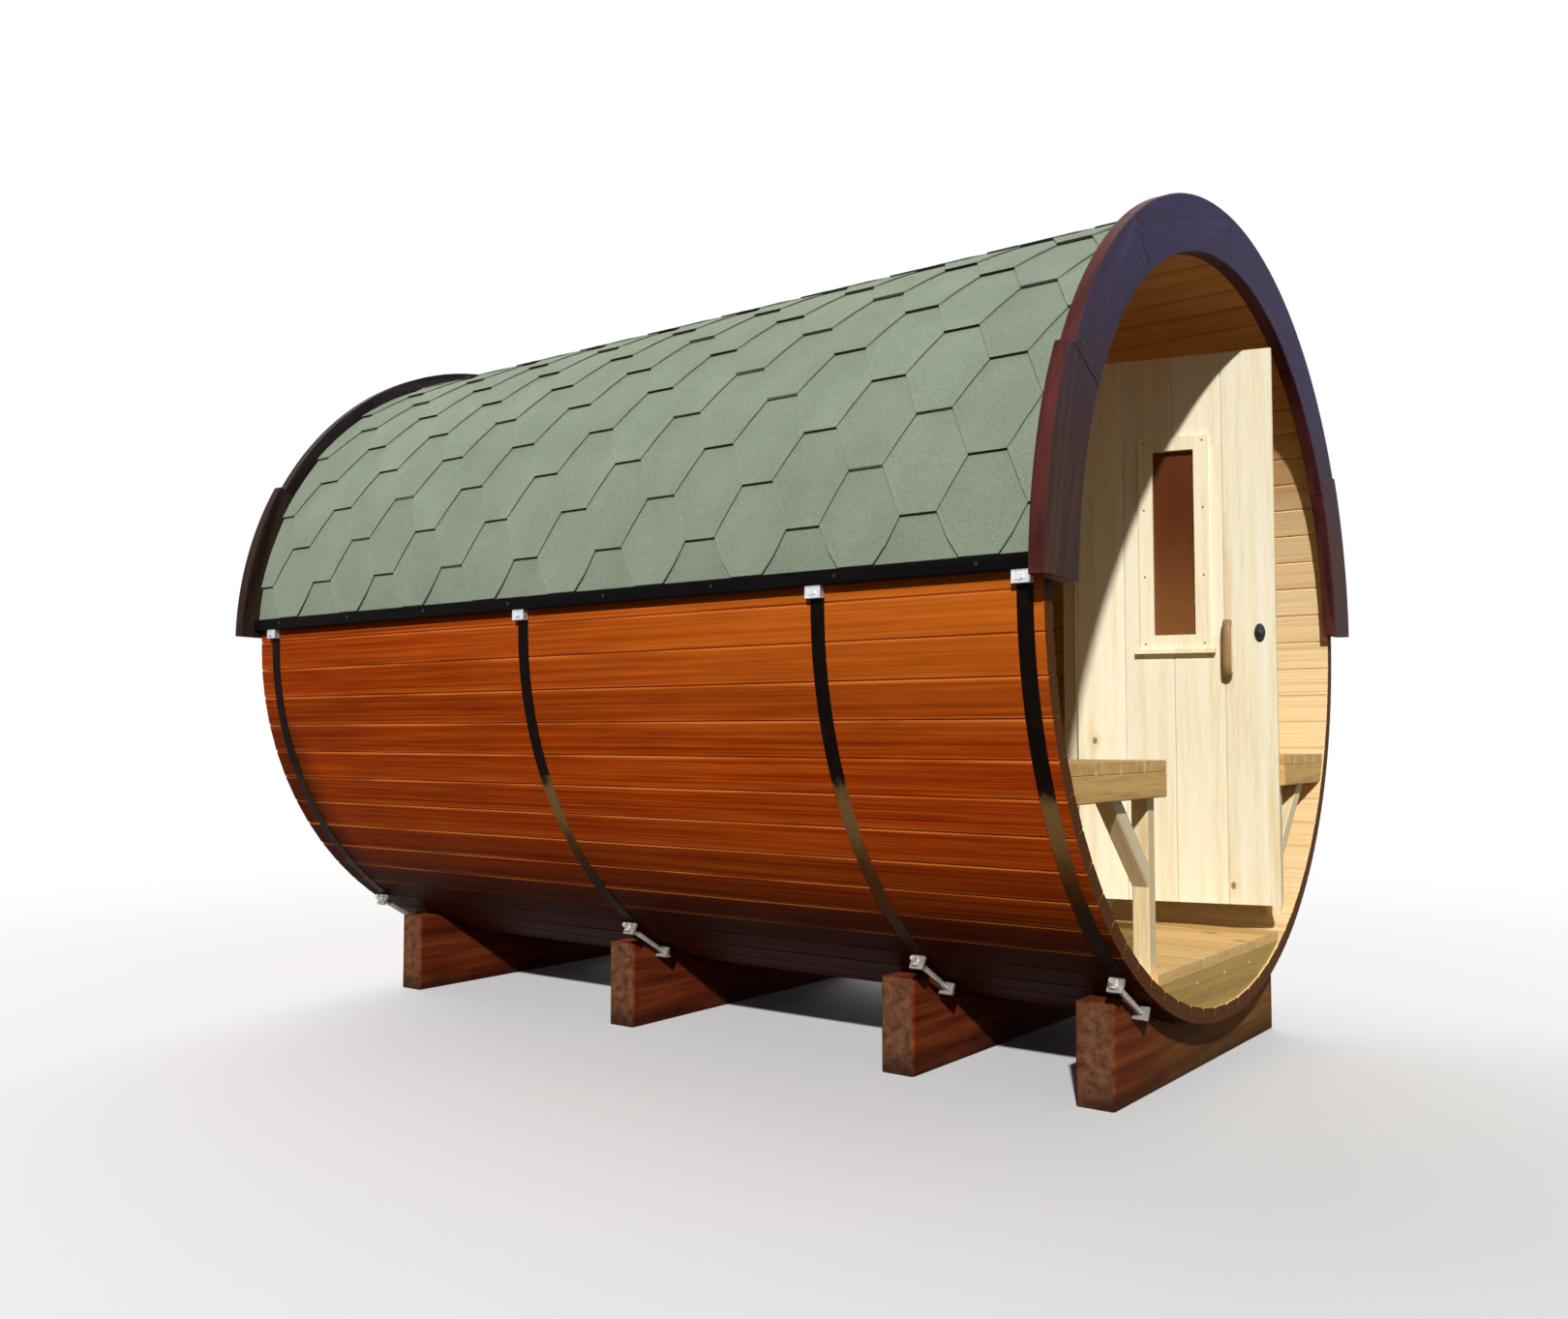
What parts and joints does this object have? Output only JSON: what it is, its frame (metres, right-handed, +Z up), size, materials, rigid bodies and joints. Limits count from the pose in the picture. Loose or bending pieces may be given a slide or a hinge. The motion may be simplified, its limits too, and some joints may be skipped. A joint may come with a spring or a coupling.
{
  "type": "barrel sauna",
  "caption": "Barrel sauna of stained staves on timber cradles, with steel hoops, a shingled half roof between arches, and an open porch with benches and a hinged, glazed door.",
  "frame": {"origin": "on the ground under the middle of the barrel, at the centre of the bounding box's underside", "axes": "+Z up, barrel along Y with the porch facing -Y, +X to the right looking into the porch"},
  "size_m": [2.3756, 3.0806, 2.415],
  "materials": {
    "stained_staves": "stained, satin",
    "hoop_steel": "black, satin",
    "zinc_steel": "zinc plated",
    "cradle_wood": "stained, matte",
    "roof_shingle": "mineral granules",
    "dark_edge_wood": "black, matte",
    "dark_arch_wood": "dark stain",
    "pale_pine": "planed, bare",
    "floor_pine": "planed, bare",
    "bench_wood": "planed, bare",
    "door_glass": "bronze tint",
    "handle_wood": "dark, oiled",
    "hinge_steel": "black, matte"
  },
  "bodies": {
    "barrel": {"staves_right_upper": "stained_staves", "staves_top_right": "stained_staves", "staves_top_left": "stained_staves", "staves_left_upper": "stained_staves", "staves_left_lower": "stained_staves", "staves_bottom_left": "stained_staves", "staves_bottom_right": "stained_staves", "staves_right_lower": "stained_staves", "hoop_front": "hoop_steel", "cradle_front": "cradle_wood", "hoop_porch": "hoop_steel", "cradle_porch": "cradle_wood", "hoop_middle": "hoop_steel", "cradle_middle": "cradle_wood", "hoop_rear": "hoop_steel", "cradle_rear": "cradle_wood", "hoop_tensioners": "zinc_steel", "hoop_lugs": "zinc_steel", "roof_left": "roof_shingle", "roof_right": "roof_shingle", "roof_edge_left": "dark_edge_wood", "roof_edge_right": "dark_edge_wood", "arch_front": "dark_arch_wood", "arch_rear": "dark_arch_wood", "end_wall_left": "pale_pine", "end_wall_right": "pale_pine", "end_wall_over_door": "pale_pine", "end_wall_sill": "pale_pine", "door_lining": "pale_pine", "rear_wall": "stained_staves", "floor_porch": "floor_pine", "floor_room": "floor_pine", "floor_front_board": "floor_pine", "bench_left_seat": "bench_wood", "bench_left_support": "bench_wood", "bench_right_seat": "bench_wood", "bench_right_support": "bench_wood", "hinge_pintles": "hinge_steel"},
    "door": {"door_leaf": "pale_pine", "door_glass": "door_glass", "door_window_trim": "pale_pine", "door_handle": "handle_wood", "door_latch": "hinge_steel", "door_straps": "hinge_steel"}
  },
  "joints": [
    {"name": "door_hinge", "type": "hinge", "parent": "barrel", "child": "door", "pos_m": [0.3055, -0.927, 1.265], "axis": [0, 0, 1], "range_deg": [-105, 0]}
  ]
}
